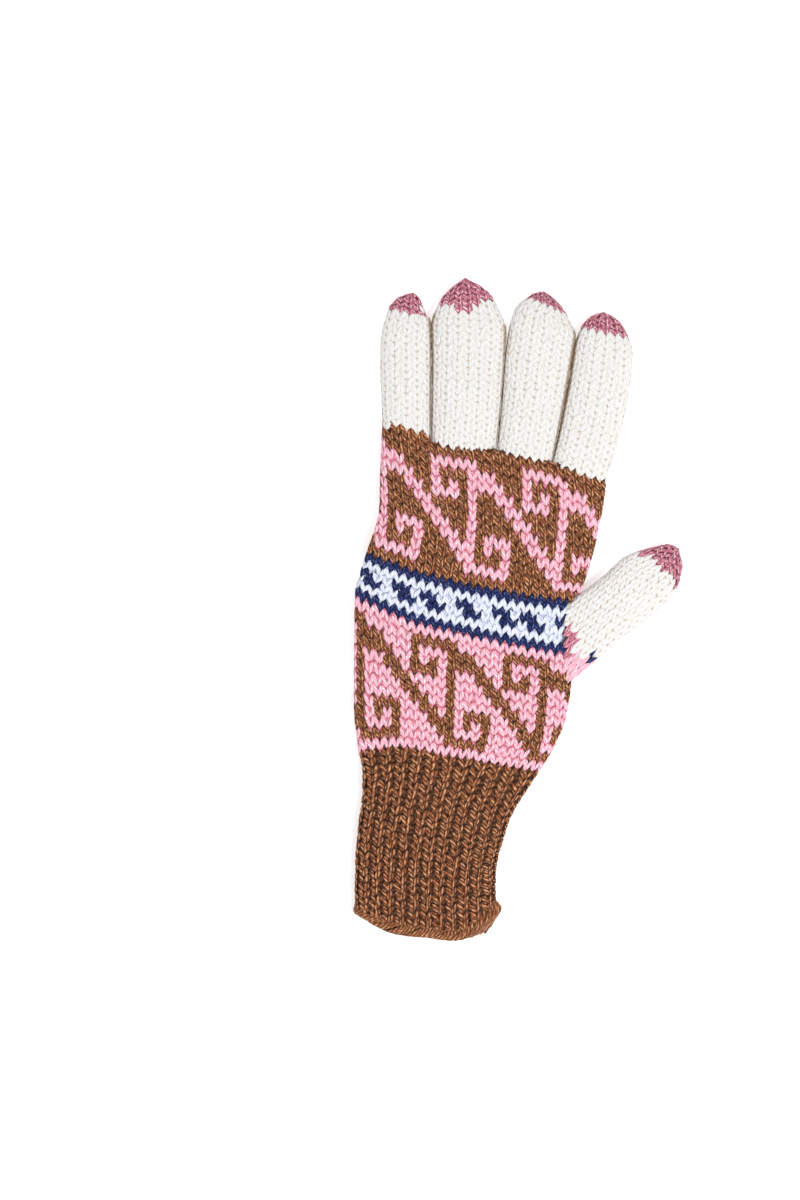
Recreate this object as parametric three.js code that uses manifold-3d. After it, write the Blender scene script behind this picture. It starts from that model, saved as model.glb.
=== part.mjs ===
// A hand-knitted five-finger glove for the left hand, lying flat with its back side up.
// Millimetres. +X runs across the glove to the thumb's side, +Y from the wrist to the fingertips
// and +Z up from the surface that it lies on.
import * as THREE from "three";
import { mergeVertices } from "three/addons/utils/BufferGeometryUtils.js";
import Module from "manifold-3d";

const wasm = await Module();
wasm.setup();

// Driving dimensions.
const GAP = 0.3; // clearance between two neighbouring sections of yarn
const SETTLE = 0.35; // how far the underside is pressed flat where it rests
const CUFF_WALL = 2.4;
const HAND_WALL = 2.6;
const FINGER_WALL = 2.3;
const TIP_WALL = 2.2;
const EDGE_WALL = 2.8; // the rolled cast-on edge is thicker than the cuff
const RIB_COUNT = 24; // knit ribs round the cuff
const RIB_DEPTH = 0.45; // half the height from a rib's crest to the furrow beside it
const EDGE_WAVES = 12; // ripples round the cast-on edge
const EDGE_WAVE_HEIGHT = 0.35;

// Middle of the tables' bounding box, which is moved to the origin.
const MIDDLE_X = 0.2;
const MIDDLE_Y = -0.67;

// Points round one cross-section of each kind of tube.
const HAND_SIDES = 44;
const CUFF_SIDES = RIB_COUNT * 4;
const EDGE_SIDES = 44;
const FINGER_SIDES = 20;

// Each row below is one cross-section. leftX, leftY and rightX, rightY are the two folded edges of the
// flat tube as seen from above, thick is its height, and lift is how far its underside stands off the
// table. square is the section's roundness: 2 is an ellipse, more is boxier.
// dipA, dipB and dipC say how far the row of stitches sags towards the wrist at one quarter, one half
// and three quarters of the way across.
const STATION_COLUMNS = ["leftX", "leftY", "rightX", "rightY", "thick", "lift", "square", "dipA", "dipB", "dipC"];

const UPPER_BAND = [
  [-60.4, 22.4, 24.0, 3.2, 13.0, 0, 3.0, 2.6, 3.0, 2.2],
  [-55.6, 37.6, 28.4, 15.6, 13.0, 0, 3.0, 2.5, 1.9, 1.1],
  [-54.8, 57.2, 33.2, 35.6, 12.6, 0, 3.2, 2.4, 0.5, -0.2],
  [-54.0, 72.8, 35.6, 50.8, 12.2, 0, 3.6, 2.3, -0.6, -1.3],
];
const BORDER_BAND = [
  [-64.8, 5.2, 22.4, -18.4, 13.2, 0, 3.0, 3.7, 3.2, 1.9],
  [-62.8, 14.0, 23.0, -7.8, 13.2, 0, 3.0, 3.2, 3.1, 2.1],
  [-60.4, 22.4, 24.0, 3.2, 13.0, 0, 3.0, 2.6, 3.0, 2.2],
];
const LOWER_BAND = [
  [-63.6, -56.0, 9.2, -64.4, 12.6, 0, 2.8, -3.9, -2.2, -1.3],
  [-65.0, -42.0, 15.2, -53.8, 13.0, 0, 2.8, -2.0, -1.0, -0.6],
  [-65.2, -25.2, 19.8, -41.2, 13.2, 0, 3.0, 0.2, 0.5, 0.3],
  [-64.8, 5.2, 22.4, -18.4, 13.2, 0, 3.0, 3.7, 3.2, 1.9],
];
const CUFF = [
  [-65.0, -118.4, -8.4, -115.6, 11.6, 0, 2.6, 6.4, 8.8, 10.4],
  [-64.8, -100.4, -8.0, -101.6, 11.6, 0, 2.6, 3.4, 4.2, 4.4],
  [-63.6, -85.2, -5.6, -92.4, 11.6, 0, 2.6, 0.6, 0.9, 1.0],
  [-62.0, -73.6, -2.2, -82.4, 11.8, 0, 2.6, -1.6, -1.2, -0.8],
  [-62.2, -63.0, 4.0, -72.0, 12.2, 0, 2.7, -3.2, -2.0, -1.2],
  [-63.6, -56.0, 9.2, -64.4, 12.6, 0, 2.8, -3.9, -2.2, -1.3],
];
const CAST_ON_EDGE = [
  [-63.8, -121.8, -11.2, -128.8, 11.2, 0.3, 2.8, 5.6, 5.8, 5.0],
  [-65.2, -121.0, -8.0, -123.0, 12.4, 0, 2.8, 6.8, 8.2, 8.8],
  [-65.4, -119.6, -6.4, -118.6, 12.6, 0, 2.8, 6.8, 8.8, 10.0],
  [-65.0, -118.4, -8.4, -115.6, 11.6, 0, 2.6, 6.4, 8.8, 10.4],
];
const LITTLE_FINGER = [
  [-53.8, 72.8, -34.9, 66.0, 11.8, 0, 3.2, 0, 0, 0],
  [-54.4, 83.6, -35.0, 81.6, 12.0, 0, 2.6, 0, 0, 0],
  [-54.8, 97.6, -34.8, 96.4, 11.8, 0, 2.5, 0, 0, 0],
  [-54.4, 109.2, -34.9, 107.6, 11.4, 0, 2.5, 0, 0, 0],
  [-51.6, 119.6, -35.6, 115.2, 9.6, 0.6, 2.4, 0, 0, 0],
];
const LITTLE_TIP = [
  [-51.6, 119.6, -35.6, 115.2, 9.6, 0.6, 2.4, 0, 0, 0],
  [-49.6, 122.4, -37.2, 120.0, 8.2, 1.2, 2.3, 0, 0, 0],
  [-46.4, 124.8, -38.8, 124.0, 5.6, 2.4, 2.2, 0, 0, 0],
  [-41.6, 126.2, -41.6, 126.2, 0, 5.0, 2.0, 0, 0, 0],
];
const RING_FINGER = [
  [-34.1, 66.0, -8.9, 62.4, 12.0, 0, 3.2, 0, 0, 0],
  [-33.8, 83.6, -6.8, 81.6, 12.6, 0, 2.6, 0, 0, 0],
  [-33.6, 99.6, -5.7, 97.6, 12.4, 0, 2.5, 0, 0, 0],
  [-33.6, 113.6, -5.5, 111.6, 11.8, 0, 2.5, 0, 0, 0],
  [-32.0, 120.8, -8.0, 120.8, 10.4, 0.4, 2.4, 0, 0, 0],
];
const RING_TIP = [
  [-32.0, 120.8, -8.0, 120.8, 10.4, 0.4, 2.4, 0, 0, 0],
  [-29.6, 124.8, -10.4, 125.2, 9.2, 1.0, 2.3, 0, 0, 0],
  [-26.0, 128.4, -14.8, 128.8, 6.8, 2.0, 2.2, 0, 0, 0],
  [-20.8, 132.0, -20.8, 132.0, 0, 5.4, 2.0, 0, 0, 0],
];
const MIDDLE_FINGER = [
  [-8.2, 62.4, 13.1, 57.2, 12.0, 0, 3.2, 0, 0, 0],
  [-6.2, 81.6, 17.4, 79.6, 12.4, 0, 2.6, 0, 0, 0],
  [-4.9, 98.8, 20.3, 96.4, 12.2, 0, 2.5, 0, 0, 0],
  [-3.2, 112.8, 22.2, 108.6, 11.8, 0, 2.5, 0, 0, 0],
  [-0.6, 120.4, 21.6, 113.4, 10.6, 0.3, 2.4, 0, 0, 0],
  [4.0, 124.2, 20.0, 117.0, 8.6, 1.1, 2.3, 0, 0, 0],
];
const MIDDLE_TIP = [
  [4.0, 124.2, 20.0, 117.0, 8.6, 1.1, 2.3, 0, 0, 0],
  [5.6, 125.3, 17.6, 120.6, 7.0, 2.0, 2.2, 0, 0, 0],
  [7.6, 126.2, 14.4, 123.9, 4.6, 3.0, 2.2, 0, 0, 0],
  [10.4, 126.6, 10.4, 126.6, 0, 5.2, 2.0, 0, 0, 0],
];
const INDEX_FINGER = [
  [13.8, 57.2, 35.6, 50.8, 11.8, 0, 3.2, 0, 0, 0],
  [18.0, 74.8, 41.6, 71.6, 12.2, 0, 2.6, 0, 0, 0],
  [21.4, 91.6, 44.8, 88.4, 12.0, 0, 2.5, 0, 0, 0],
  [23.4, 105.2, 46.0, 102.0, 11.4, 0, 2.5, 0, 0, 0],
  [25.0, 111.8, 44.6, 107.6, 10.0, 0.5, 2.4, 0, 0, 0],
];
const INDEX_TIP = [
  [25.0, 111.8, 44.6, 107.6, 10.0, 0.5, 2.4, 0, 0, 0],
  [27.0, 115.0, 42.6, 112.2, 8.6, 1.1, 2.3, 0, 0, 0],
  [30.2, 117.2, 39.2, 116.0, 5.8, 2.3, 2.2, 0, 0, 0],
  [34.4, 118.4, 34.4, 118.4, 0, 5.0, 2.0, 0, 0, 0],
];
const THUMB = [
  [19.0, 3.4, 18.6, -31.0, 10.2, 0.6, 2.8, 0, 0, 0],
  [26.0, 7.2, 30.2, -21.6, 11.2, 0.2, 2.6, 0, 0, 0],
  [34.8, 14.0, 40.4, -12.8, 11.8, 0, 2.5, 0, 0, 0],
  [42.8, 21.2, 56.0, -0.4, 11.6, 0, 2.5, 0, 0, 0],
  [51.2, 24.0, 63.2, 7.2, 10.2, 0.4, 2.4, 0, 0, 0],
];
const THUMB_TIP = [
  [51.2, 24.0, 63.2, 7.2, 10.2, 0.4, 2.4, 0, 0, 0],
  [55.6, 25.2, 65.0, 12.4, 8.8, 1.0, 2.3, 0, 0, 0],
  [60.0, 26.0, 65.8, 18.0, 6.2, 2.2, 2.2, 0, 0, 0],
  [64.2, 24.4, 64.2, 24.4, 0, 5.2, 2.0, 0, 0, 0],
];

// Yarn finishes.
function yarn(colour) {
  return new THREE.MeshStandardMaterial({ color: colour, roughness: 0.95, metalness: 0 });
}
const BROWN_YARN = yarn("#86552f");
const PINK_YARN = yarn("#e397a8");
const WHITE_YARN = yarn("#dfe4f0");
const CREAM_YARN = yarn("#ece6da");
const ROSE_YARN = yarn("#b56a7f");

function stations(table) {
  return table.map((row) => Object.fromEntries(STATION_COLUMNS.map((name, i) => [name, row[i]])));
}

// The section a share of the way from one station to the next.
function blend(from, to, share) {
  return Object.fromEntries(STATION_COLUMNS.map((name) => [name, from[name] + (to[name] - from[name]) * share]));
}

// Smooth sections between the rows of a table, two for each stretch.
function refined(rows) {
  const out = [];
  for (let i = 0; i + 1 < rows.length; i++) {
    const before = rows[Math.max(i - 1, 0)];
    const after = rows[Math.min(i + 2, rows.length - 1)];
    const half = {};
    for (const name of STATION_COLUMNS) {
      half[name] = (9 * (rows[i][name] + rows[i + 1][name]) - before[name] - after[name]) / 16;
    }
    out.push(rows[i], half);
  }
  out.push(rows[rows.length - 1]);
  return out;
}

// The two end sections are drawn back so that a neighbour keeps its clearance.
function trimmed(rows, trimStart, trimEnd) {
  const out = [...rows];
  const span = (a, b) => Math.hypot(a.leftX + a.rightX - b.leftX - b.rightX, a.leftY + a.rightY - b.leftY - b.rightY) / 2;
  if (trimStart > 0) out[0] = blend(rows[0], rows[1], trimStart / span(rows[0], rows[1]));
  const last = rows.length - 1;
  if (trimEnd > 0) out[last] = blend(rows[last], rows[last - 1], trimEnd / span(rows[last], rows[last - 1]));
  return out;
}

function signedPower(value, power) {
  return Math.sign(value) * Math.abs(value) ** power;
}

// A section's outline, as shares of its half width and half height, at even steps of length.
// It starts at the right-hand fold and goes over the top.
function sectionOutline(halfWidth, halfHeight, square, sides) {
  const fine = 360;
  const points = [];
  const lengths = [0];
  for (let i = 0; i <= fine; i++) {
    const angle = (i / fine) * 2 * Math.PI;
    const across = signedPower(Math.cos(angle), 2 / square);
    const up = signedPower(Math.sin(angle), 2 / square);
    points.push([across, up]);
    if (i > 0) {
      const [a, u] = points[i - 1];
      lengths.push(lengths[i - 1] + Math.hypot((across - a) * halfWidth, (up - u) * halfHeight));
    }
  }
  const outline = [];
  let at = 0;
  for (let k = 0; k < sides; k++) {
    const wanted = (lengths[fine] * k) / sides;
    while (lengths[at + 1] < wanted) at++;
    const share = (wanted - lengths[at]) / (lengths[at + 1] - lengths[at]);
    outline.push([0, 1].map((j) => points[at][j] + (points[at + 1][j] - points[at][j]) * share));
  }
  return outline;
}

// How far the row of stitches sags at a share of the way across, through five evenly spaced values.
function dipAt(station, share) {
  const values = [0, station.dipA, station.dipB, station.dipC, 0];
  const place = Math.min(Math.max(share, 0), 0.9999) * 4;
  const i = Math.floor(place);
  const t = place - i;
  const [p1, p2] = [values[i], values[i + 1]];
  const p0 = i > 0 ? values[i - 1] : 2 * p1 - p2;
  const p3 = i < 3 ? values[i + 2] : 2 * p2 - p1;
  return p1 + 0.5 * t * (p2 - p0 + t * (2 * p0 - 5 * p1 + 4 * p2 - p3 + t * (3 * (p1 - p2) + p3 - p0)));
}

// One ring of points. inset moves it inwards from the outer face; relief adds ribs or waves.
function ring(station, sides, inset, relief = {}) {
  const centreX = (station.leftX + station.rightX) / 2;
  const centreY = (station.leftY + station.rightY) / 2;
  const width = Math.hypot(station.rightX - station.leftX, station.rightY - station.leftY);
  const directionX = (station.rightX - station.leftX) / width;
  const directionY = (station.rightY - station.leftY) / width;
  const halfWidth = width / 2 - inset;
  const halfHeight = station.thick / 2 - inset;
  return sectionOutline(halfWidth, halfHeight, station.square, sides).map(([across, up], k) => {
    const rib = relief.rib ? relief.rib(k / sides) : 0;
    const wave = relief.wave ? relief.wave(k / sides) : 0;
    const reach = across * (halfWidth + rib);
    const x = centreX + directionX * reach;
    const share = 0.5 + reach / width;
    const y = relief.edge ? relief.edge(x) : centreY + directionY * reach - dipAt(station, share) + wave;
    const z = station.lift + station.thick / 2 + up * (halfHeight + rib) - SETTLE;
    return [x, y, Math.max(z, inset)];
  });
}

function middleOf(points) {
  return [0, 1, 2].map((j) => points.reduce((sum, p) => sum + p[j], 0) / points.length);
}

// Two stacks of rings, joined at their ends, become one closed skin.
function skin(outer, inner, closedEnd) {
  const vertices = [...outer.flat(), ...inner.flat()];
  const sides = outer[0].length;
  const innerStart = outer.length * sides;
  const faces = [];
  const quad = (a, b, c, d) => faces.push(a, b, c, a, c, d);
  const wall = (start, count, flip) => {
    for (let i = 0; i + 1 < count; i++) {
      for (let k = 0; k < sides; k++) {
        const next = (k + 1) % sides;
        const corners = [start + i * sides + k, start + i * sides + next];
        corners.push(start + (i + 1) * sides + next, start + (i + 1) * sides + k);
        if (flip) corners.reverse();
        quad(...corners);
      }
    }
  };
  const rim = (outerStart, innerRing, flip) => {
    for (let k = 0; k < sides; k++) {
      const next = (k + 1) % sides;
      const corners = [outerStart + k, innerRing + k, innerRing + next, outerStart + next];
      if (flip) corners.reverse();
      quad(...corners);
    }
  };
  const fan = (ringStart, apex, flip) => {
    const tip = vertices.push(apex) - 1;
    for (let k = 0; k < sides; k++) {
      const next = (k + 1) % sides;
      const corners = [ringStart + k, ringStart + next, tip];
      if (flip) corners.reverse();
      faces.push(...corners);
    }
  };
  wall(0, outer.length, true);
  wall(innerStart, inner.length, false);
  rim(0, innerStart, true);
  const lastOuter = (outer.length - 1) * sides;
  const lastInner = innerStart + (inner.length - 1) * sides;
  if (closedEnd) {
    fan(lastOuter, closedEnd.outerTip, true);
    fan(lastInner, closedEnd.innerTip, false);
  } else {
    rim(lastOuter, lastInner, false);
  }
  return geometryOf(vertices, faces);
}

function geometryOf(vertices, faces) {
  const geometry = new THREE.BufferGeometry();
  geometry.setAttribute("position", new THREE.Float32BufferAttribute(vertices.flat(), 3));
  geometry.setIndex(faces);
  geometry.computeVertexNormals();
  return geometry;
}

// A hollow tube, open at both ends.
function openTube(rows, sides, wall, relief = {}) {
  const last = rows.length - 1;
  const outer = rows.map((row, i) => ring(row, sides, 0, { ...relief, edge: i === 0 ? relief.startEdge : undefined }));
  const inner = rows.map((row, i) => ring(row, sides, wall, { edge: i === 0 ? relief.startEdge : undefined }));
  if (relief.wave) {
    outer[last] = ring(rows[last], sides, 0);
  }
  return skin(outer, inner, null);
}

// A closed finger end. The last row is its point, and the hollow stops one row before it.
function closedTip(rows, sides, wall) {
  const point = rows[rows.length - 1];
  const shell = rows.slice(0, -1);
  const outer = shell.map((row) => ring(row, sides, 0));
  const hollow = shell.filter((row) => row.thick / 2 > wall + 0.8);
  const inner = hollow.map((row) => ring(row, sides, wall));
  const outerTip = [point.leftX, point.leftY, point.lift];
  const innerEnd = middleOf(inner[inner.length - 1]);
  const reach = 0.35;
  const innerTip = innerEnd.map((value, j) => value + (outerTip[j] - value) * reach);
  return skin(outer, inner, { outerTip, innerTip });
}

// Boolean cuts.
function solidOf(geometry) {
  const bare = geometry.clone();
  bare.deleteAttribute("normal");
  const merged = mergeVertices(bare, 1e-4);
  const mesh = new wasm.Mesh({
    numProp: 3,
    vertProperties: new Float32Array(merged.attributes.position.array),
    triVerts: new Uint32Array(merged.index.array),
  });
  return new wasm.Manifold(mesh);
}

function geometryFrom(solid) {
  const mesh = solid.getMesh();
  const geometry = new THREE.BufferGeometry();
  geometry.setAttribute("position", new THREE.Float32BufferAttribute(mesh.vertProperties, 3));
  geometry.setIndex(Array.from(mesh.triVerts));
  geometry.computeVertexNormals();
  return geometry;
}

function cut(geometry, tool) {
  return geometryFrom(solidOf(geometry).subtract(solidOf(tool)));
}

// Pieces.
const handTop = stations(UPPER_BAND).at(-1);

// Height along the glove of the row of stitches that the fingers grow from.
function fingerLine(x) {
  const share = (x - handTop.leftX) / (handTop.rightX - handTop.leftX);
  const straight = handTop.leftY + (handTop.rightY - handTop.leftY) * share;
  return straight - dipAt(handTop, share) + GAP / 2;
}

function handBand(table) {
  return openTube(trimmed(refined(stations(table)), GAP / 2, GAP / 2), HAND_SIDES, HAND_WALL);
}

function cuff() {
  const rib = (turn) => RIB_DEPTH * Math.cos(turn * RIB_COUNT * 2 * Math.PI) - RIB_DEPTH;
  return openTube(trimmed(stations(CUFF), GAP / 2, GAP / 2), CUFF_SIDES, CUFF_WALL, { rib });
}

function castOnEdge() {
  const wave = (turn) => EDGE_WAVE_HEIGHT * Math.sin(turn * EDGE_WAVES * 2 * Math.PI);
  return openTube(trimmed(stations(CAST_ON_EDGE), 0, GAP / 2), EDGE_SIDES, EDGE_WALL, { wave });
}

function finger(table) {
  return openTube(trimmed(refined(stations(table)), 0, GAP / 2), FINGER_SIDES, FINGER_WALL, { startEdge: fingerLine });
}

function fingertip(table) {
  return closedTip(trimmed(stations(table), GAP / 2, 0), FINGER_SIDES, TIP_WALL);
}

function thumb() {
  return openTube(trimmed(refined(stations(THUMB)), 0, GAP / 2), FINGER_SIDES, FINGER_WALL);
}

// The thumb's full outer shape with its clearance, which opens the side of the hand.
function thumbOpening() {
  const rows = refined(stations(THUMB));
  const outer = rows.map((row) => ring(row, FINGER_SIDES, -GAP));
  for (const point of outer[0]) point[0] -= GAP;
  for (const points of outer) {
    for (const point of points) if (point[2] <= 0) point[2] = -1;
  }
  return plug(outer);
}

// A stack of rings closed at both ends.
function plug(rings) {
  const sides = rings[0].length;
  const vertices = rings.flat();
  const faces = [];
  for (let i = 0; i + 1 < rings.length; i++) {
    for (let k = 0; k < sides; k++) {
      const next = (k + 1) % sides;
      const [a, b] = [i * sides + k, i * sides + next];
      const [c, d] = [b + sides, a + sides];
      faces.push(a, c, b, a, d, c);
    }
  }
  for (const [at, flip] of [[0, false], [rings.length - 1, true]]) {
    const centre = vertices.push(middleOf(rings[at])) - 1;
    for (let k = 0; k < sides; k++) {
      const corners = [at * sides + k, at * sides + ((k + 1) % sides), centre];
      if (flip) corners.reverse();
      faces.push(...corners);
    }
  }
  return geometryOf(vertices, faces);
}

const glove = new THREE.Group();
glove.position.set(-MIDDLE_X, -MIDDLE_Y, 0);

function add(name, geometry, material) {
  const mesh = new THREE.Mesh(geometry, material);
  mesh.name = name;
  glove.add(mesh);
}

const opening = thumbOpening();
add("cast_on_edge", castOnEdge(), BROWN_YARN);
add("cuff", cuff(), BROWN_YARN);
add("lower_band", cut(handBand(LOWER_BAND), opening), PINK_YARN);
add("border_band", cut(handBand(BORDER_BAND), opening), WHITE_YARN);
add("upper_band", cut(handBand(UPPER_BAND), opening), BROWN_YARN);
add("little_finger", finger(LITTLE_FINGER), CREAM_YARN);
add("ring_finger", finger(RING_FINGER), CREAM_YARN);
add("middle_finger", finger(MIDDLE_FINGER), CREAM_YARN);
add("index_finger", finger(INDEX_FINGER), CREAM_YARN);
add("thumb", thumb(), CREAM_YARN);
add("little_tip", fingertip(LITTLE_TIP), ROSE_YARN);
add("ring_tip", fingertip(RING_TIP), ROSE_YARN);
add("middle_tip", fingertip(MIDDLE_TIP), ROSE_YARN);
add("index_tip", fingertip(INDEX_TIP), ROSE_YARN);
add("thumb_tip", fingertip(THUMB_TIP), ROSE_YARN);

export default glove;
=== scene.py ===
import math

import bpy
import numpy as np
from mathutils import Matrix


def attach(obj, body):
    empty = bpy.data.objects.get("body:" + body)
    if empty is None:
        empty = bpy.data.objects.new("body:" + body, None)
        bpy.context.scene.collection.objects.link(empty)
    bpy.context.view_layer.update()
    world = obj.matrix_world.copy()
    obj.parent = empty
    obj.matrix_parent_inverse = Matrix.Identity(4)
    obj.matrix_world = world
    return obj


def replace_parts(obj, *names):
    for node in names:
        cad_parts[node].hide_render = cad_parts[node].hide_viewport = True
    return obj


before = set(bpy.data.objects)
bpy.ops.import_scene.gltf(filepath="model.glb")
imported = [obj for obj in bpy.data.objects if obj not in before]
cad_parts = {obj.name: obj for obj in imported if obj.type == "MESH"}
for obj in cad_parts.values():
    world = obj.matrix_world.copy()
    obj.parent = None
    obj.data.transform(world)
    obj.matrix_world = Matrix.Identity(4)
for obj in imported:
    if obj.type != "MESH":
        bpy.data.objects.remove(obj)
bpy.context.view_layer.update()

MM = 0.001
MIDDLE_X, MIDDLE_Y = 0.2, -0.67  # middle of the tables, which lies at the origin
SETTLE = 0.35  # how far the underside is pressed flat where it rests
HAND_WALL, CUFF_WALL, FINGER_WALL = 2.6, 2.4, 2.3
RIB_COUNT = 24
RIBBING_ROWS = 21
RIB_DEPTH = 0.2
HAND_WALES = 50
# Width and height of a stitch, and half the width of its strands, where that is the same all over.
HAND_STITCH, SCROLL_TALL, BORDER_TALL = 3.85, 4.0, 3.5
RIB_STITCH, RIB_TALL = 5.2, 3.0
FINGER_TALL = 2.7
STRAND = 0.98
# From the crests of the stitches down to the cloth behind them.
HAND_CLOTH, FINGER_CLOTH, TIP_CLOTH = 0.9, 0.3, 0.5

# Each row below is one cross-section. leftX, leftY and rightX, rightY are the two folded edges of the
# flat tube as seen from above, thick is its height, and lift is how far its underside stands off the
# table. square is the section's roundness: 2 is an ellipse, more is boxier. dipA, dipB and dipC say how
# far the row of stitches sags towards the wrist at one quarter, one half and three quarters across. The
# fingers' and the thumb's rows leave them out, since their stitches lie in straight rows.
DIP = 7  # place of dipA in a row
CUFF = [
    [-65.0, -118.4, -8.4, -115.6, 11.6, 0, 2.6, 6.4, 8.8, 10.4],
    [-64.8, -100.4, -8.0, -101.6, 11.6, 0, 2.6, 3.4, 4.2, 4.4],
    [-63.6, -85.2, -5.6, -92.4, 11.6, 0, 2.6, 0.6, 0.9, 1.0],
    [-62.0, -73.6, -2.2, -82.4, 11.8, 0, 2.6, -1.6, -1.2, -0.8],
    [-62.2, -63.0, 4.0, -72.0, 12.2, 0, 2.7, -3.2, -2.0, -1.2],
    [-63.6, -56.0, 9.2, -64.4, 12.6, 0, 2.8, -3.9, -2.2, -1.3],
]
CAST_ON_EDGE = [
    [-63.8, -121.8, -12.0, -131.4, 11.2, 0.3, 2.8, 4.9, 4.1, 2.8],
    [-65.2, -121.0, -8.0, -123.0, 12.4, 0, 2.8, 6.8, 8.2, 8.8],
    [-65.4, -119.6, -6.4, -118.6, 12.6, 0, 2.8, 6.8, 8.8, 10.0],
    CUFF[0],
]
# The hand's rows have two more columns: the wale that lies on the left fold, and how many wales lie
# between the folds on the upper side. Wale 0 is the one that the scrolls' middle stem follows.
HAND = [
    CUFF[-1] + [-11.4, 24.0],
    [-65.0, -42.0, 15.2, -53.8, 13.0, 0, 2.8, -2.0, -1.0, -0.6, -11.4, 24.2],
    [-65.2, -25.2, 19.8, -41.2, 13.2, 0, 3.0, 0.2, 0.5, 0.3, -11.3, 24.9],
    [-64.8, 5.2, 22.4, -18.4, 13.2, 0, 3.0, 3.7, 3.2, 1.9, -11.3, 25.0],
    [-62.8, 14.0, 23.0, -7.8, 13.2, 0, 3.0, 3.2, 3.1, 2.1, -11.5, 25.0],
    [-60.4, 22.4, 24.0, 3.2, 13.0, 0, 3.0, 2.6, 3.0, 2.2, -11.7, 25.1],
    [-55.6, 37.6, 28.4, 15.6, 13.0, 0, 3.0, 2.5, 1.9, 1.1, -11.2, 25.4],
    [-54.8, 57.2, 33.2, 35.6, 12.6, 0, 3.2, 2.4, 0.5, -0.2, -10.8, 25.7],
    [-54.0, 72.8, 35.6, 50.8, 12.2, 0, 3.6, 2.3, -0.6, -1.3, -10.4, 26.0],
]
LOWER_ROWS, BORDER_ROWS, UPPER_ROWS = 13, 6, 13
LITTLE_FINGER = [
    [-53.8, 72.8, -34.9, 66.0, 11.8, 0, 3.2],
    [-54.4, 83.6, -35.0, 81.6, 12.0, 0, 2.6],
    [-54.8, 97.6, -34.8, 96.4, 11.8, 0, 2.5],
    [-54.4, 109.2, -34.9, 107.6, 11.4, 0, 2.5],
    [-51.6, 119.6, -35.6, 115.2, 9.6, 0.6, 2.4],
]
LITTLE_TIP = [
    LITTLE_FINGER[-1],
    [-49.6, 122.4, -37.2, 120.0, 8.2, 1.2, 2.3],
    [-46.4, 124.8, -38.8, 124.0, 5.6, 2.4, 2.2],
    [-41.6, 126.2, -41.6, 126.2, 0, 5.0, 2.0],
]
RING_FINGER = [
    [-34.1, 66.0, -8.9, 62.4, 12.0, 0, 3.2],
    [-33.8, 83.6, -6.8, 81.6, 12.6, 0, 2.6],
    [-33.6, 99.6, -5.7, 97.6, 12.4, 0, 2.5],
    [-33.6, 113.6, -5.5, 111.6, 11.8, 0, 2.5],
    [-32.0, 120.8, -8.0, 120.8, 10.4, 0.4, 2.4],
]
RING_TIP = [
    RING_FINGER[-1],
    [-29.6, 124.8, -10.4, 125.2, 9.2, 1.0, 2.3],
    [-26.0, 128.4, -14.8, 128.8, 6.8, 2.0, 2.2],
    [-20.8, 132.0, -20.8, 132.0, 0, 5.4, 2.0],
]
MIDDLE_FINGER = [
    [-8.2, 62.4, 13.1, 57.2, 12.0, 0, 3.2],
    [-6.2, 81.6, 17.4, 79.6, 12.4, 0, 2.6],
    [-4.9, 98.8, 20.3, 96.4, 12.2, 0, 2.5],
    [-3.2, 112.8, 22.2, 108.6, 11.8, 0, 2.5],
    [-0.6, 120.4, 21.6, 113.4, 10.6, 0.3, 2.4],
    [4.0, 124.2, 20.0, 117.0, 8.6, 1.1, 2.3],
]
MIDDLE_TIP = [
    MIDDLE_FINGER[-1],
    [5.6, 125.3, 17.6, 120.6, 7.0, 2.0, 2.2],
    [7.6, 126.2, 14.4, 123.9, 4.6, 3.0, 2.2],
    [10.4, 126.6, 10.4, 126.6, 0, 5.2, 2.0],
]
INDEX_FINGER = [
    [13.8, 57.2, 35.6, 50.8, 11.8, 0, 3.2],
    [18.0, 74.8, 41.6, 71.6, 12.2, 0, 2.6],
    [21.4, 91.6, 44.8, 88.4, 12.0, 0, 2.5],
    [23.4, 105.2, 46.0, 102.0, 11.4, 0, 2.5],
    [25.0, 111.8, 44.6, 107.6, 10.0, 0.5, 2.4],
]
INDEX_TIP = [
    INDEX_FINGER[-1],
    [27.0, 115.0, 42.6, 112.2, 8.6, 1.1, 2.3],
    [30.2, 117.2, 39.2, 116.0, 5.8, 2.3, 2.2],
    [34.4, 118.4, 34.4, 118.4, 0, 5.0, 2.0],
]
THUMB = [
    [19.0, 3.4, 18.6, -31.0, 10.2, 0.6, 2.8],
    [26.0, 7.2, 30.2, -21.6, 11.2, 0.2, 2.6],
    [34.8, 14.0, 40.4, -12.8, 11.8, 0, 2.5],
    [42.8, 21.2, 56.0, -0.4, 11.6, 0, 2.5],
    [51.2, 24.0, 63.2, 7.2, 10.2, 0.4, 2.4],
]
THUMB_TIP = [
    THUMB[-1],
    [55.6, 25.2, 65.0, 12.4, 8.8, 1.0, 2.3],
    [60.0, 26.0, 65.8, 18.0, 6.2, 2.2, 2.2],
    [64.2, 24.4, 64.2, 24.4, 0, 5.2, 2.0],
]

TOUCHING = 2.4  # two fingers' edges closer than this press together
FINGERS = [np.array(table) for table in (LITTLE_FINGER, RING_FINGER, MIDDLE_FINGER, INDEX_FINGER)]

# A chart of the colour knitting, read from the finger side to the wrist. Column 0 is wale 0, and the
# chart repeats round the hand.
SCROLL = [
    "..........",
    "#.....####",
    "###...#...",
    "####..#.#.",
    "#..##.###.",
    "#...##....",
    "#....##...",
    "#.....##..",
    "#.###..##.",
    "#.#.#...##",
    "#...#....#",
    "#####.....",
    "..........",
]
# First wale of each navy step in the border. The upper row of a step covers it and the next wale, and
# the lower row lies one wale to the right.
BORDER_STEPS = [0, 4, 7, 11, 15, 19, 22, 26, 30, 35, 39, 43, 46]

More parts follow.
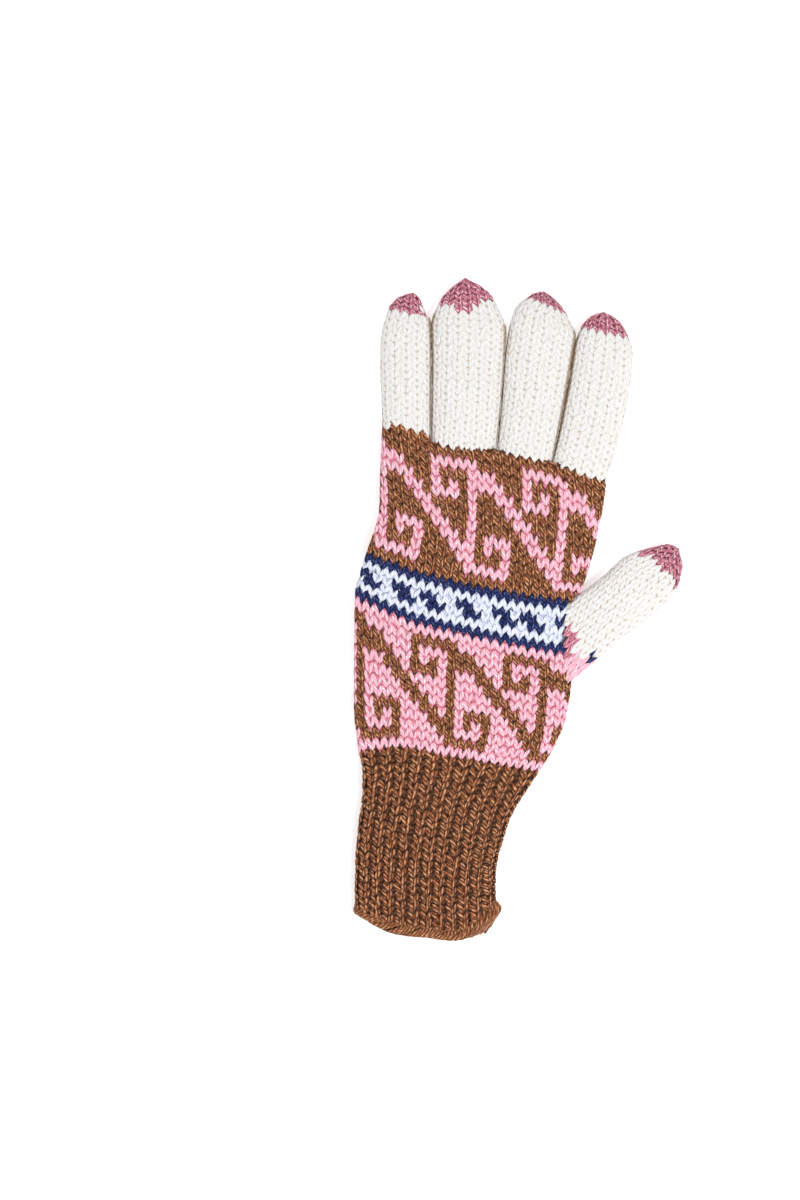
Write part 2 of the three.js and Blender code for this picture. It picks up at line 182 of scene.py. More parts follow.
# Wales round each knitted piece.
WALES_ROUND = {
    "lower_knit": HAND_WALES,
    "border_knit": HAND_WALES,
    "upper_knit": HAND_WALES,
    "cuff_knit": RIB_COUNT,
    "cast_on_roll": 36,
    "little_finger_knit": 12,
    "ring_finger_knit": 16,
    "middle_finger_knit": 15,
    "index_finger_knit": 14,
    "thumb_knit": 17,
}

wobble = np.random.default_rng(11)


def linear(red, green, blue):
    """A colour of the yarn as the eye reads it, 0 to 255, as the shader's linear light."""
    shares = [value / 255 for value in (red, green, blue)]
    light = [s / 12.92 if s <= 0.04045 else ((s + 0.055) / 1.055) ** 2.4 for s in shares]
    return (*light, 1.0)


# Finishes.
class Amount:
    """A number that varies over a finish. Python's operators on it add Math nodes."""

    def __init__(self, finish, socket):
        self.finish = finish
        self.socket = socket

    def maths(self, operation, *values):
        node = self.finish.node("ShaderNodeMath", {"operation": operation}, dict(enumerate(values)))
        return Amount(self.finish, node.outputs[0])

    def __add__(self, other):
        return self.maths("ADD", self, other)

    def __radd__(self, other):
        return self.maths("ADD", other, self)

    def __sub__(self, other):
        return self.maths("SUBTRACT", self, other)

    def __rsub__(self, other):
        return self.maths("SUBTRACT", other, self)

    def __mul__(self, other):
        return self.maths("MULTIPLY", self, other)

    def __rmul__(self, other):
        return self.maths("MULTIPLY", other, self)

    def __abs__(self):
        return self.maths("ABSOLUTE", self)

    def wave(self):
        """A sine between 0 and 1."""
        return 0.5 + 0.5 * self.maths("SINE", self)

    def between(self, low, high):
        """0 below low, 1 above high and smooth in between."""
        settings = {"interpolation_type": "SMOOTHSTEP"}
        sockets = {"Value": self, "From Min": low, "From Max": high}
        node = self.finish.node("ShaderNodeMapRange", settings, sockets)
        return Amount(self.finish, node.outputs[0])


class Finish:
    """A material with its nodes."""

    def __init__(self, name, roughness):
        self.material = bpy.data.materials.new(name)
        self.material.use_nodes = True
        self.tree = self.material.node_tree
        self.shader = self.tree.nodes["Principled BSDF"]
        self.surface({"Roughness": roughness})

    def feed(self, socket, value):
        if isinstance(value, Amount):
            value = value.socket
        if isinstance(value, bpy.types.NodeSocket):
            self.tree.links.new(value, socket)
        else:
            socket.default_value = value

    def surface(self, sockets):
        for name, value in sockets.items():
            self.feed(self.shader.inputs[name], value)

    def node(self, kind, settings=None, sockets=None):
        """A node of a kind: its settings first, then the values or links of its sockets."""
        node = self.tree.nodes.new(kind)
        for name, value in (settings or {}).items():
            setattr(node, name, value)
        for name, value in (sockets or {}).items():
            self.feed(node.inputs[name], value)
        return node

    def mixed(self, under, over, share):
        node = self.node("ShaderNodeMix", {"data_type": "RGBA"}, {0: share, 6: under, 7: over})
        return node.outputs[2]

    def strand(self):
        """Place across a strand from 0 to 1, and along it in millimetres."""
        layer = self.node("ShaderNodeUVMap", {"uv_map": "strand"})
        parts = self.node("ShaderNodeSeparateXYZ", None, {0: layer.outputs[0]})
        return Amount(self, parts.outputs[0]), Amount(self, parts.outputs[1])

    def told(self, name):
        """A number that the mesh tells for each of its points."""
        found = self.node("ShaderNodeAttribute", {"attribute_name": name})
        return Amount(self, found.outputs["Fac"])

    def noise(self, vector, detail):
        sockets = {"Vector": vector, "Scale": 1.0, "Detail": detail}
        return Amount(self, self.node("ShaderNodeTexNoise", None, sockets).outputs[0])

    def vector(self, x, y, z):
        return self.node("ShaderNodeCombineXYZ", None, {0: x, 1: y, 2: z}).outputs[0]


YARN_SHINE = 0.12
PLIES_ACROSS, PLIES_EACH_MM = 1.9, 0.38  # plies passed on the way across a strand, and along it
TWIST_SPREAD = 7  # how far the twist of two strands of unlike tone may differ, in plies
FIBRES_EACH_PLY = 7
GROOVE_SHADE, DARK_FIBRES, DARK_STRANDS = 0.75, 0.6, 0.2  # how much painted shade in the ply grooves, and the dark fibres and dark strands of a heathered yarn, darken it


def yarn(name, deep, body, highlight, heather_and_ply_shade, shade, hole_shade, relief, gap_shade=(60, 44, 36)):
    """Plied yarn. Its first three colours are painted shade in the grooves of its plies, which also
    colours its dark fibres and strands, its colour on the whole, and a painted highlight on the crests
    of its plies.
    Then come how strongly its plies, with painted shade in their grooves, and its fibres show, how much
    painted shade a strand's sides get, how much painted shade its sunk ends get, and how high its plies
    stand in millimetres. The last colour is painted shade where two fingers touch."""
    finish = Finish(name, 0.7)
    across, along = finish.strand()
    tone, under = finish.told("tone"), finish.told("under")
    twist = across * PLIES_ACROSS + along * PLIES_EACH_MM + tone * TWIST_SPREAD
    ply = (twist * 2 * math.pi).wave()
    fibres = finish.noise(finish.vector(twist * FIBRES_EACH_PLY, along * 0.9, tone * 61), 3.0)
    flecks = finish.noise(finish.vector(across * 1.8, along * 0.8, tone * 37), 1.0)
    side = abs(across * 2 - 1)
    # crest is where the painted highlight lies on the crests of the plies.
    crest = ply.between(0.35, 0.95) * flecks.between(0.38, 0.6) * fibres.between(0.3, 0.6)
    # Painted shade in the grooves between the plies.
    groove_shade = ply.between(0.45, 0.0) * heather_and_ply_shade
    dark_fibre = fibres.between(0.48, 0.3) * heather_and_ply_shade
    colour = finish.mixed(linear(*body), linear(*highlight), crest)
    # Darkens towards the first colour: painted shade in the ply grooves, the yarn's own dark fibres and
    # strands, painted shade on a strand's sides and painted shade on its sunk ends.
    for share in (
        groove_shade * GROOVE_SHADE,
        dark_fibre * DARK_FIBRES,
        (1 - tone) * DARK_STRANDS * heather_and_ply_shade,
        side.between(0.5, 0.92) * shade,
        under * hole_shade,
    ):
        colour = finish.mixed(colour, linear(*deep), share)
    # Painted shade where two fingers touch, broken into specks.
    specks = 0.55 + 0.45 * fibres.between(0.35, 0.6)
    colour = finish.mixed(colour, linear(*gap_shade), finish.told("gap_shade") * specks)
    height = ply * 0.7 + fibres * 0.3
    sockets = {"Strength": 1.0, "Distance": relief * MM, "Height": height}
    bump = finish.node("ShaderNodeBump", None, sockets)
    finish.surface({"Base Color": colour, "Normal": bump.outputs[0], "Specular IOR Level": YARN_SHINE})
    finish.surface({"Sheen Weight": 0.06, "Sheen Roughness": 0.5})
    return finish.material


def fluff(name, colour):
    """The loose fibres of a yarn."""
    finish = Finish(name, 0.8)
    finish.surface({"Base Color": linear(*colour), "Specular IOR Level": YARN_SHINE, "Alpha": 0.7})
    return finish.material


# Each yarn's first colour is painted shade, which also colours its dark fibres and strands, and its
# third is a painted highlight.
YARNS = [
    yarn("brown_alpaca", deep=(32, 13, 9), body=(153, 91, 57), highlight=(238, 180, 134),
         heather_and_ply_shade=0.95, shade=1.0, hole_shade=0.95, relief=0.25),
    yarn("pink_alpaca", deep=(198, 66, 96), body=(238, 186, 202), highlight=(252, 243, 248),
         heather_and_ply_shade=0.4, shade=0.9, hole_shade=1.0, relief=0.2),
    yarn("navy_alpaca", deep=(5, 7, 24), body=(25, 36, 88), highlight=(88, 102, 160),
         heather_and_ply_shade=0.5, shade=0.6, hole_shade=0.7, relief=0.35),
    yarn("cool_white_alpaca", deep=(156, 168, 208), body=(226, 231, 243), highlight=(242, 245, 250),
         heather_and_ply_shade=0.3, shade=0.35, hole_shade=0.6, relief=0.35),
    # The cream's last colour is painted shade where two fingers touch.
    yarn("cream_alpaca", deep=(172, 144, 108), body=(223, 221, 219), highlight=(235, 235, 235),
         heather_and_ply_shade=0.08, shade=0.12, hole_shade=0.95, relief=0.12, gap_shade=(150, 124, 90)),
    yarn("rose_alpaca", deep=(104, 20, 46), body=(208, 128, 146), highlight=(255, 222, 232),
         heather_and_ply_shade=0.7, shade=0.85, hole_shade=0.95, relief=0.25),
    fluff("brown_fluff", (176, 122, 82)),
    fluff("pink_fluff", (250, 214, 224)),
    fluff("navy_fluff", (70, 84, 140)),
    fluff("cool_white_fluff", (250, 251, 255)),
    fluff("cream_fluff", (250, 248, 244)),
    fluff("rose_fluff", (214, 150, 166)),
]
# Places in that list. A yarn's fluff comes FLUFF places after it.
BROWN_END, PINK_END, NAVY_END, WHITE_END, CREAM_END, ROSE_END, FLUFF = range(7)


# The tubes' outer faces.
def stations_at(table, places):
    """The table's columns at places from 0 to its last row, and straight on past its ends."""
    rows = np.array(table, float)
    rows = np.pad(rows, [(0, 0), (0, max(DIP + 3 - rows.shape[1], 0))])
    last = len(rows) - 1
    places = np.asarray(places, float)
    inside = np.clip(places, 0, last - 1e-9)
    i = np.floor(inside).astype(int)
    t = (inside - i)[:, None]
    before, here, there = rows[np.maximum(i - 1, 0)], rows[i], rows[i + 1]
    after = rows[np.minimum(i + 2, last)]
    slope = 0.5 * (there - before)
    bend = before - 2.5 * here + 2 * there - 0.5 * after
    turn = 1.5 * (here - there) + 0.5 * (after - before)
    found = here + t * (slope + t * (bend + t * turn))
    past_start = np.minimum(places, 0)[:, None]
    past_end = np.maximum(places - last, 0)[:, None]
    return found + past_start * (rows[1] - rows[0]) + past_end * (rows[last] - rows[last - 1])


def outline(half_width, half_height, square, turns):
    """A section's outline as shares of its half width and half height, at even steps of length."""
    angle = np.radians(np.arange(0, 360.5, 0.5))
    across = np.sign(np.cos(angle)) * np.abs(np.cos(angle)) ** (2 / square)
    up = np.sign(np.sin(angle)) * np.abs(np.sin(angle)) ** (2 / square)
    steps = np.hypot(np.diff(across) * half_width, np.diff(up) * half_height)
    length = np.concatenate([[0], np.cumsum(steps)])
    wanted = (turns % 1.0) * length[-1]
    return np.interp(wanted, length, across), np.interp(wanted, length, up), length[-1]


def dip_at(station, share):
    """How far a row of stitches sags at a share of the way across."""
    values = np.array([0, *station[DIP:DIP + 3], 0])
    place = np.clip(share, 0, 0.9999) * 4
    i = np.floor(place).astype(int)
    t = place - i
    p1, p2 = values[i], values[i + 1]
    p0 = np.where(i > 0, values[np.maximum(i - 1, 0)], 2 * p1 - p2)
    p3 = np.where(i < 3, values[np.minimum(i + 2, 4)], 2 * p2 - p1)
    return p1 + 0.5 * t * (p2 - p0 + t * (2 * p0 - 5 * p1 + 4 * p2 - p3 + t * (3 * (p1 - p2) + p3 - p0)))


def finger_line(x):
    """Height along the glove of the row of stitches that the fingers grow from."""
    top = HAND[-1]
    share = (x - top[0]) / (top[2] - top[0])
    return top[1] + (top[3] - top[1]) * share - dip_at(top, share)


class Tube:
    """The outer face of a knitted tube, told by turn and row. Turn 0 is the right-hand fold, 0.5 the
    left-hand one, and the upper side lies between them. Row 0 is where the tube begins."""

    FINE = 6  # sections for each row of stitches
    SPARE = 2  # rows that the face goes on past each end
    TURNS = 480  # points round each section
    TABLE_STEPS = 40  # steps between two rows of the table that its length is summed in
    ROOT_ROWS = 5  # rows that a finger takes to leave the slant of the hand's last row

    def __init__(self, table, spans, relief=None, on_hand=False, closed=False):
        self.rows = sum(count for _, count in spans)
        self.last = self.rows if closed else self.rows + self.SPARE
        rows = np.arange(-self.SPARE * self.FINE, (self.rows + self.SPARE) * self.FINE + 1) / self.FINE
        self.stations = stations_at(table, self.places(table, spans, rows))
        turns = np.arange(self.TURNS) / self.TURNS
        self.numbers = np.arange(len(rows)) / self.FINE - self.SPARE
        self.round = np.zeros(len(rows))
        self.face = np.zeros((len(rows), self.TURNS, 3))
        for i, station in enumerate(self.stations):
            self.face[i], self.round[i] = self.section(station, turns, relief)
            if on_hand:
                fade = max(0.0, 1 - max(rows[i], 0) / self.ROOT_ROWS) ** 2
                x, straight = self.face[i][:, 0], self.straight_root(table)
                self.face[i][:, 1] += fade * (finger_line(x) - straight(x))
        along = np.gradient(self.face, axis=0)
        round_ = np.roll(self.face, -1, axis=1) - np.roll(self.face, 1, axis=1)
        normal = np.cross(along, round_)
        self.normal = normal / np.maximum(np.linalg.norm(normal, axis=2, keepdims=True), 1e-9)

    @staticmethod
    def straight_root(table):
        left_x, left_y, right_x, right_y = table[0][:4]
        return lambda x: left_y + (right_y - left_y) * (x - left_x) / (right_x - left_x)

    @classmethod
    def places(cls, table, spans, rows):
        """Where each row lies in the table, with the rows of a span evenly spaced along the tube. A span
        is the table's row where it ends and its count of stitch rows."""
        steps = cls.TABLE_STEPS
        fine = np.linspace(0, len(table) - 1, steps * (len(table) - 1) + 1)
        middle = stations_at(table, fine)
        x = (middle[:, 0] + middle[:, 2]) / 2
        y = (middle[:, 1] + middle[:, 3]) / 2 - middle[:, DIP + 1]
        length = np.concatenate([[0], np.cumsum(np.hypot(np.diff(x), np.diff(y)))])
        marks, counts = [0.0], [0.0]
        for end, count in spans:
            marks.append(np.interp(end, fine, length))
            counts.append(counts[-1] + count)
        wanted = np.interp(rows, counts, marks)
        found = np.interp(wanted, length, fine)
        before = np.minimum(rows, 0) * marks[1] / counts[1]
        after = np.maximum(rows - counts[-1], 0) * (marks[-1] - marks[-2]) / (counts[-1] - counts[-2])
        first, last = length[steps] - length[0], length[-1] - length[-1 - steps]
        return found + before / first + after / last

    @staticmethod
    def section(station, turns, relief):
        left_x, left_y, right_x, right_y, thick, lift, square = station[:DIP]
        width = math.hypot(right_x - left_x, right_y - left_y)
        across, up, length = outline(width / 2, thick / 2, square, turns)
        rib = relief(turns) if relief else 0
        reach = across * (width / 2 + rib)
        x = (left_x + right_x) / 2 + (right_x - left_x) / max(width, 1e-6) * reach
        dip = dip_at(station, 0.5 + reach / max(width, 1e-6))
        y = (left_y + right_y) / 2 + (right_y - left_y) / max(width, 1e-6) * reach - dip
        z = lift + thick / 2 + up * (thick / 2 + rib) - SETTLE
        return np.stack([x, y, np.maximum(z, 0)], axis=1), length

    def sampled(self, grid, turn, row):
        v = np.clip((np.minimum(row, self.last) + self.SPARE) * self.FINE, 0, len(grid) - 1.001)
        u = (turn % 1.0) * self.TURNS
        i, j = np.floor(v).astype(int), np.floor(u).astype(int) % self.TURNS
        s, t = (v - i)[..., None], (u - np.floor(u))[..., None]
        k = (j + 1) % self.TURNS
        low = grid[i, j] * (1 - t) + grid[i, k] * t
        high = grid[i + 1, j] * (1 - t) + grid[i + 1, k] * t
        return low * (1 - s) + high * s

    def at(self, turn, row, height=0.0):
        """Points at a height above the face, in millimetres, never under the table."""
        spots = self.sampled(self.face, turn, row)
        spots = spots + self.sampled(self.normal, turn, row) * np.asarray(height)[..., None]
        spots[..., 2] = np.maximum(spots[..., 2], 0.02)
        return spots

    def column(self, index, row):
        """One of the table's columns at each row."""
        return np.interp(row, self.numbers, self.stations[:, index])

    def length_round(self, row):
        return np.interp(row, self.numbers, self.round)


def even_turn(wales):
    """Wales at even distances round a tube, counted to the right from the middle of the upper side."""
    return lambda wale, row: 0.25 - wale / wales


def facing_edges(left, right, y):
    """The right edge of one finger's table and the left edge of the next one's, y along the glove."""
    return np.interp(y, left[:, 3], left[:, 2]), np.interp(y, right[:, 1], right[:, 0])


def pressed_together(left, right):
    """Brings the facing edges of two fingers' tables together wherever they lie side by side."""
    left, right = np.array(left), np.array(right)
    moved_left, moved_right = left.copy(), right.copy()
    for moved, across, up in ((moved_left, 2, 3), (moved_right, 0, 1)):
        for station in moved:
            left_edge, right_edge = facing_edges(left, right, station[up])
            if right_edge - left_edge < TOUCHING:
                station[across] = (right_edge + left_edge) / 2
    return moved_left, moved_right


NOOK_REACH, NOOK_BLUR = 0.95, 0.4  # where the painted shade between touching fingers begins, and over how far it fades in
NOOK_ROOT, NOOK_RISE = 1.5, 3  # how far above the fingers' roots it begins, and over how far
NOOK_OPEN, NOOK_CLOSING = 1.3, 0.6  # how wide open a nook ends, and over how far


def between_fingers(points):
    """The share of painted shade: 1 deep between two fingers that touch, and 0 elsewhere."""
    found = np.zeros(len(points))
    x, y = points[:, 0], points[:, 1]
    for left, right in zip(FINGERS, FINGERS[1:]):
        left_edge, right_edge = facing_edges(left, right, y)
        middle, half = (left_edge + right_edge) / 2, (right_edge - left_edge) / 2
        near = 1 - np.clip((abs(x - middle) - half * NOOK_REACH) / NOOK_BLUR, 0, 1)
        root = np.clip((y - left[0, 3] - NOOK_ROOT) / NOOK_RISE, 0, 1)
        open_end = np.clip((TOUCHING * NOOK_OPEN - 2 * half) / NOOK_CLOSING, 0, 1)
        found = np.maximum(found, near * root * open_end)
    return found


SHEET_STRIP, HAIR_STRIP = 0.08, 0.05  # shares of the bake map's height
STRAND_CELLS, HAIR_CELLS = 2.2, 30  # how much taller than wide a strand's and a hair's cells are
CELL_MARGIN = 0.04


class Cloth:
    """Gathers the strands of one piece on a tube and the cloth behind them, and makes its mesh. turn_of
    tells at which turn a wale lies in a row."""

    def __init__(self, name, tube, turn_of):
        self.name, self.tube, self.turn_of = name, tube, turn_of
        self.points, self.quads, self.yarns = [], [], []
        self.strands, self.tones, self.unders = [], [], []
        self.places, self.kinds = [], []
        self.count = 0

    def at(self, wale, row, height=0.0):
        return self.tube.at(self.turn_of(wale, row), row, height)

    def add_grids(self, points, yarn_index, strand, tone, under, kind="strand"):
        """points has one grid of points for each strand: strands, steps along, steps across, xyz.
        strand is their place across and along, tone a number for each strand, and under its share of
        painted shade, 1 where it goes beneath others. kind is strand, hair, or sheet for a broad cloth."""
        strands, along, across = points.shape[:3]
        grid = np.arange(strands * along * across).reshape(strands, along, across) + self.count
        corners = [grid[:, :-1, :-1], grid[:, :-1, 1:], grid[:, 1:, 1:], grid[:, 1:, :-1]]
        self.quads.append(np.stack(corners, axis=-1).reshape(-1, 4))
        faces = (along - 1) * (across - 1)
        self.points.append(points.reshape(-1, 3))
        self.yarns.append(np.repeat(np.broadcast_to(yarn_index, strands), faces))
        self.strands.append(np.broadcast_to(strand, (strands, along, across, 2)).reshape(-1, 2))
        self.tones.append(np.repeat(np.broadcast_to(tone, strands), along * across))
        beneath = np.broadcast_to(under, along)[None, :, None]
        self.unders.append(np.broadcast_to(beneath, (strands, along, across)).ravel())
        right, up = np.meshgrid(np.linspace(0, 1, across), np.linspace(0, 1, along))
        place = np.broadcast_to(np.stack([right, up], axis=-1), (strands, along, across, 2))
        self.places.append(place.reshape(strands, -1, 2))
        self.kinds.append(kind)
        self.count += strands * along * across

    def bake_map(self):
        """A place in the bake map for every strand, with strips at the top for sheets and for hairs."""
        sheets = self.kinds.count("sheet")
        hair_low = 1 - HAIR_STRIP
        share = hair_low - SHEET_STRIP * sheets
        areas = {"strand": (0, share, STRAND_CELLS), "hair": (hair_low, HAIR_STRIP, HAIR_CELLS)}
        sheet, done, found = 0, {"strand": 0, "hair": 0}, []
        for place, kind in zip(self.places, self.kinds):
            inner = CELL_MARGIN + (1 - 2 * CELL_MARGIN) * place
            if kind == "sheet":
                low = share + SHEET_STRIP * sheet
                found.append((inner * [1, SHEET_STRIP] + [0, low]).reshape(-1, 2))
                sheet += 1
                continue
            low, tall, stretch = areas[kind]
            cells = sum(len(p) for p, k in zip(self.places, self.kinds) if k == kind)
            columns = max(int(math.ceil(math.sqrt(cells * stretch))), 1)
            lines = max(int(math.ceil(cells / columns)), 1)
            number = np.arange(done[kind], done[kind] + len(place))
            corner = np.stack([number % columns, number // columns], axis=-1)[:, None]
            found.append(((inner + corner) * [1 / columns, tall / lines] + [0, low]).reshape(-1, 2))
            done[kind] += len(place)
        return np.concatenate(found)

    def make(self):
        places = np.concatenate(self.points)
        points = places - [MIDDLE_X, MIDDLE_Y, 0]
        quads = np.concatenate(self.quads)
        mesh = bpy.data.meshes.new(self.name)
        mesh.vertices.add(len(points))
        mesh.vertices.foreach_set("co", (points * MM).ravel())
        mesh.loops.add(quads.size)
        mesh.loops.foreach_set("vertex_index", quads.ravel())
        mesh.polygons.add(len(quads))
        mesh.polygons.foreach_set("loop_start", np.arange(len(quads)) * 4)
        yarns = np.concatenate(self.yarns)
        used = sorted(set(yarns.tolist()))
        for index in used:
            mesh.materials.append(YARNS[index])
        mesh.polygons.foreach_set("material_index", np.searchsorted(used, yarns))
        mesh.update(calc_edges=True)
        for name, spots in (("strand", np.concatenate(self.strands)), ("OFBake", self.bake_map())):
            layer = mesh.uv_layers.new(name=name)
            layer.uv.foreach_set("vector", spots[quads.ravel()].ravel())
        told = {"tone": np.concatenate(self.tones), "under": np.concatenate(self.unders)}
        # Where painted shade darkens the yarn between touching fingers.
        told["gap_shade"] = between_fingers(places)
        for name, values in told.items():
            mesh.attributes.new(name, "FLOAT", "POINT").data.foreach_set("value", values)
        mesh.shade_smooth()
        piece = bpy.data.objects.new(self.name, mesh)
        bpy.context.scene.collection.objects.link(piece)
        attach(piece, "root")
        return piece


# Stitches.
LEG_STEPS, LEG_FACES = 8, 5
BAR_STEPS, BAR_FACES = 4, 4
STRAND_SIDE = 105  # degrees from a strand's crest to where its outer side ends
# A leg's half width on its way up, as shares of its greatest: first the place, then the share.
LEG_SWELL = [[0, 0.13, 0.25, 0.5, 0.75, 0.88, 1], [0.3, 0.66, 0.87, 1.0, 0.97, 0.83, 0.4]]


def strand_side(x, y, z, radius, high, under, faces):
    """The outer side of a strand that lies along x, y, z in millimetres: its points, its own places and
    its share of painted shade where it goes beneath others."""
    dx, dy = np.gradient(x), np.gradient(y)
    length = np.hypot(dx, dy)
    right_x, right_y = dy / length, -dx / length
    bend = np.radians(np.linspace(-STRAND_SIDE, STRAND_SIDE, faces + 1))
    out, up = np.sin(bend), np.cos(bend)
    places_x = x[:, None] + (right_x * radius)[:, None] * out
    places_y = y[:, None] + (right_y * radius)[:, None] * out
    heights = z[:, None] + (high * radius)[:, None] * up
    across = np.broadcast_to(np.linspace(0, 1, faces + 1), heights.shape)
    run = np.concatenate([[0], np.cumsum(length[1:])])
    along = np.broadcast_to(run[:, None], heights.shape)
    return places_x, places_y, heights, np.stack([across, along], axis=-1), under


class Gauge:
    """The shape of one knit stitch: wide, tall and the radius of its strands in millimetres, and how its
    two legs lie in it. top and end are where the legs end across it and along it, in shares; high is
    how round a strand stands, dive how far its lower end goes down between its neighbours, tip how
    much painted shade its upper end gets, and even how far its two legs stay alike where the rows slant."""

    BASE, START = 0.01, -0.2  # where the legs begin across it and along it, in shares
    SINKS_FROM = 0.6  # share of a leg's way up from which its upper end sinks
    DARK_BELOW, DARK_ABOVE = 0.17, 0.8  # shares of its way up between which it gets no painted shade
    # The bar of a purl stitch: its half length in stitches, the height of its ends and its rise in
    # rows, its depth and how much deeper its ends lie in millimetres, and its share of a leg's width.
    BAR_REACH, BAR_PLACE, BAR_RISE = 0.22, 0.45, 0.12
    BAR_DEPTH, BAR_DROP, BAR_THICK = 1.6, 0.4, 0.78

    def __init__(self, wide, tall, radius, top=0.52, end=1.0, high=0.65, dive=0.35, tip=1.0, even=0.0):
        self.wide, self.tall, self.radius = wide, tall, radius
        self.top, self.end = top, end
        self.high, self.dive, self.tip, self.even = high, dive, tip, even

    def leg(self, side):
        t = np.linspace(0, 1, LEG_STEPS + 1)
        x = side * (self.BASE + (self.top - self.BASE) * t) * self.wide
        y = (self.START + (self.end - self.START) * t) * self.tall
        radius = self.radius * np.interp(t, *LEG_SWELL)
        last = np.clip((t - self.SINKS_FROM) / (1 - self.SINKS_FROM), 0, 1)
        sunk = self.dive * (1 - t) ** 3 + 0.5 * self.dive * last**2
        dark_top = np.clip((t - self.DARK_ABOVE) / (1 - self.DARK_ABOVE), 0, 1)
        # Painted shade on both ends of the leg, where they go beneath other strands.
        under = self.tip * dark_top + np.clip(1 - t / self.DARK_BELOW, 0, 1)
        return strand_side(x, y, -self.high * radius - sunk, radius, self.high, under, LEG_FACES)

    def purl(self):
        """The bar of a purl stitch, which lies across its wale in a low arch."""
        t = np.linspace(-1, 1, BAR_STEPS + 1)
        x = t * self.BAR_REACH * self.wide
        y = (self.BAR_PLACE + self.BAR_RISE * (1 - t * t)) * self.tall
        radius = self.radius * self.BAR_THICK * (1 - 0.3 * t * t)
        z = -self.BAR_DEPTH - self.BAR_DROP * t * t
        # The bar gets painted shade, more towards its ends.
        return strand_side(x, y, z, radius, self.high, 0.5 + 0.4 * abs(t), BAR_FACES)


# How unevenly hands knit, as standard deviations: how far a stitch is shifted and leans, in stitches,
# how far it slips, in rows, and how much its width and its height differ, as shares.
SHIFT, LEAN, SLIP = 0.035, 0.05, 0.06
FAT, SINK = 0.07, 0.12
YARN_START = 9  # millimetres of yarn within which a strand's twist may start


def slant_at(cloth, wales, rows):
    """How many rows a row of stitches climbs from one wale to the next, seen along its wales."""
    across = cloth.at(wales + 0.25, rows) - cloth.at(wales - 0.25, rows)
    along = cloth.at(wales, rows + 0.5) - cloth.at(wales, rows - 0.5)
    return 2 * (across * along).sum(axis=1) / (along * along).sum(axis=1)


def lay_strands(cloth, gauge, shape, wales, rows, yarns):
    """Adds one strand of a shape to each stitch, a little unevenly, as hands knit."""
    count = len(wales)
    x, y, z, strand, under = shape
    shift = wobble.normal(0, SHIFT, (count, 1, 1))
    lean = wobble.normal(0, LEAN, (count, 1, 1)) * np.linspace(0, 1, len(under))[None, :, None]
    slip = wobble.normal(0, SLIP, (count, 1, 1))
    fat = 1 + wobble.normal(0, FAT, (count, 1, 1))
    sink = wobble.normal(0, SINK, (count, 1, 1)) * gauge.high
    across = x[None] * fat / gauge.wide
    wale = wales[:, None, None] + shift + lean + across
    row = rows[:, None, None] + slip + y[None] / gauge.tall
    if gauge.even:
        slant = gauge.even * slant_at(cloth, wales, rows)
        row = row - slant[:, None, None] * across
    points = cloth.at(wale, row, z[None] + sink)
    start = np.stack([np.zeros(count), wobble.random(count) * YARN_START], axis=-1)
    cloth.add_grids(points, yarns, strand[None] + start[:, None, None], wobble.random(count), under)


def knit(cloth, gauge, wales, rows, yarns):
    """Adds knit stitches at the given wales and rows, one yarn for each."""
    for side in (-1, 1):
        lay_strands(cloth, gauge, gauge.leg(side), wales, rows, yarns)


HAIR_STEPS = 3
HAIR_LENGTH = 1.0, 3.2
HAIR_RISE = 0.2, 0.8  # how high it stands off the stitches
HAIR_THICK = 0.04, 0.08
HAIR_CURL = 1.5  # radians at most
HAIR_TAPER = 0.6
HAIR_OVERHANG = 0.25  # share of a hair that stays where it reaches past a piece's first row
MEAN_TALL = 3.2  # height of a row of stitches, on the mean of all pieces


def fuzz(cloth, wales, rows, yarns, hairs, foot=-0.5):
    """Fine loose hairs that stand off the stitches of a piece, from foot millimetres above its face."""
    stitch = wobble.integers(0, len(wales), hairs)
    t = np.linspace(0, 1, HAIR_STEPS + 1)[None, :, None]
    side = np.linspace(-0.5, 0.5, 2)[None, None, :]
    draw = lambda low, high: wobble.uniform(low, high, (hairs, 1, 1))
    length, angle, curl = draw(*HAIR_LENGTH), draw(0, 2 * math.pi), draw(-HAIR_CURL, HAIR_CURL)
    rise, thick = draw(*HAIR_RISE), draw(*HAIR_THICK)
    way = angle + curl * t
    half = thick * (1 - HAIR_TAPER * t) * side
    across = length * t * np.cos(way) - half * np.sin(way)
    up = length * t * np.sin(way) + half * np.cos(way)
    row = rows[stitch][:, None, None] + draw(0.1, 0.9) + up / MEAN_TALL
    row = np.where(row < 0, row * HAIR_OVERHANG, row)
    wide = cloth.tube.length_round(row) / WALES_ROUND[cloth.name]
    wale = wales[stitch][:, None, None] + draw(-0.4, 0.4) + across / wide
    height = foot + rise * np.sin(t * math.pi * 0.8) + 0 * side
    points = cloth.at(wale, row, np.broadcast_to(height, row.shape))
    strand = np.stack(np.broadcast_arrays(0.5 + side, t * 3, row)[:2], axis=-1)
    cloth.add_grids(points, yarns[stitch] + FLUFF, strand, 0.5, 0.0, "hair")


LINING_LOW = 2.4  # least height of the lining above the table
SHEET_TONE, SHEET_UNDER, SHEET_YARN = 0.2, 0.7, 1.7  # its tone, its share of painted shade, and millimetres of yarn for each row


